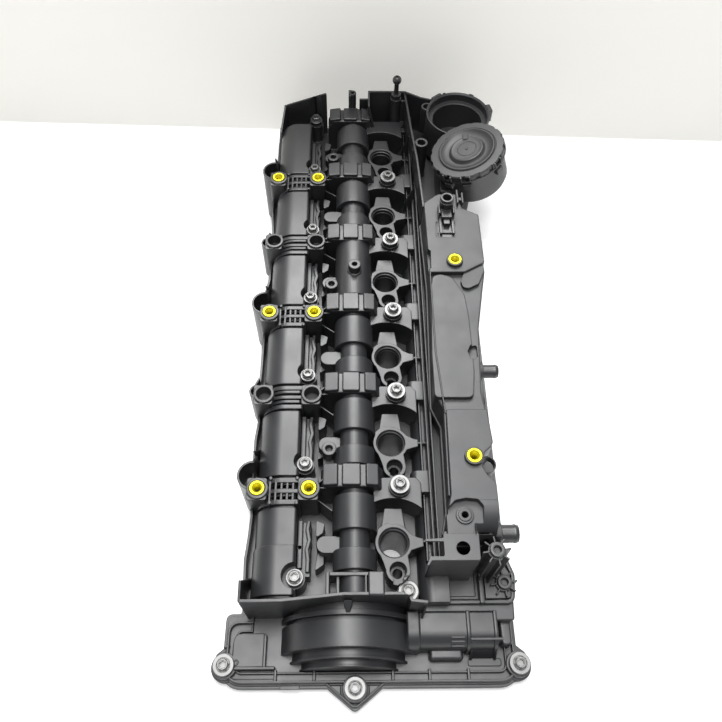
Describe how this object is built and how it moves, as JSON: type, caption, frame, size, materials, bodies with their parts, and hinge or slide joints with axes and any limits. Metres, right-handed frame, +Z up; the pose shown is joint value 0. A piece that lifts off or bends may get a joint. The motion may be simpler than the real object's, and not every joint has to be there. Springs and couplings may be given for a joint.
{
  "type": "engine valve cover",
  "caption": "Moulded plastic valve cover for a straight-six diesel engine, with injector wells, oil separator and crankcase pressure regulator.",
  "frame": {"origin": "cylinder 1's injector axis, where it meets the face of the cylinder head", "axes": "+X across the engine towards the oil separator, +Y along the engine towards the rear, +Z up along the injector axis"},
  "size_m": [0.291, 0.662, 0.1311],
  "materials": {
    "cover_plastic": "satin glass-filled polyamide",
    "lid_plastic": "satin glass-filled polyamide",
    "cap_plastic": "satin moulded plastic",
    "nipple_plastic": "smooth moulded plastic",
    "rubber": "moulded rubber",
    "zinc_steel": "bright zinc plated",
    "sleeve_steel": "turned steel",
    "brass": "turned brass"
  },
  "bodies": {
    "cover": {"cover_body": "cover_plastic", "separator_lid": "lid_plastic", "breather_housing": "lid_plastic", "separator_baffle": "cover_plastic", "oil_drain_valves": "rubber", "vent_nipples": "nipple_plastic", "pressure_port": "nipple_plastic", "perimeter_gasket": "rubber", "injector_seals": "rubber", "left_screws": "zinc_steel", "right_screws": "zinc_steel", "front_screws": "zinc_steel", "left_sleeves": "sleeve_steel", "right_sleeves": "sleeve_steel", "front_sleeves": "sleeve_steel", "left_grommets": "rubber", "right_grommets": "rubber", "front_grommets": "rubber", "saddle_inserts": "brass", "separator_inserts": "brass", "ball_stud": "nipple_plastic", "regulator_cap": "cap_plastic", "regulator_diaphragm": "rubber", "regulator_spring": "sleeve_steel"},
    "regulator_plate": {"regulator_valve_plate": "cap_plastic"}
  },
  "joints": [
    {"name": "regulator_lift", "type": "slide", "parent": "cover", "child": "regulator_plate", "axis": [0.3256, 0, -0.9455], "range_m": [0, 0.004], "stiffness_N_per_m": 300, "springref_m": -0.002, "deforming": ["regulator_spring", "regulator_diaphragm"]}
  ]
}
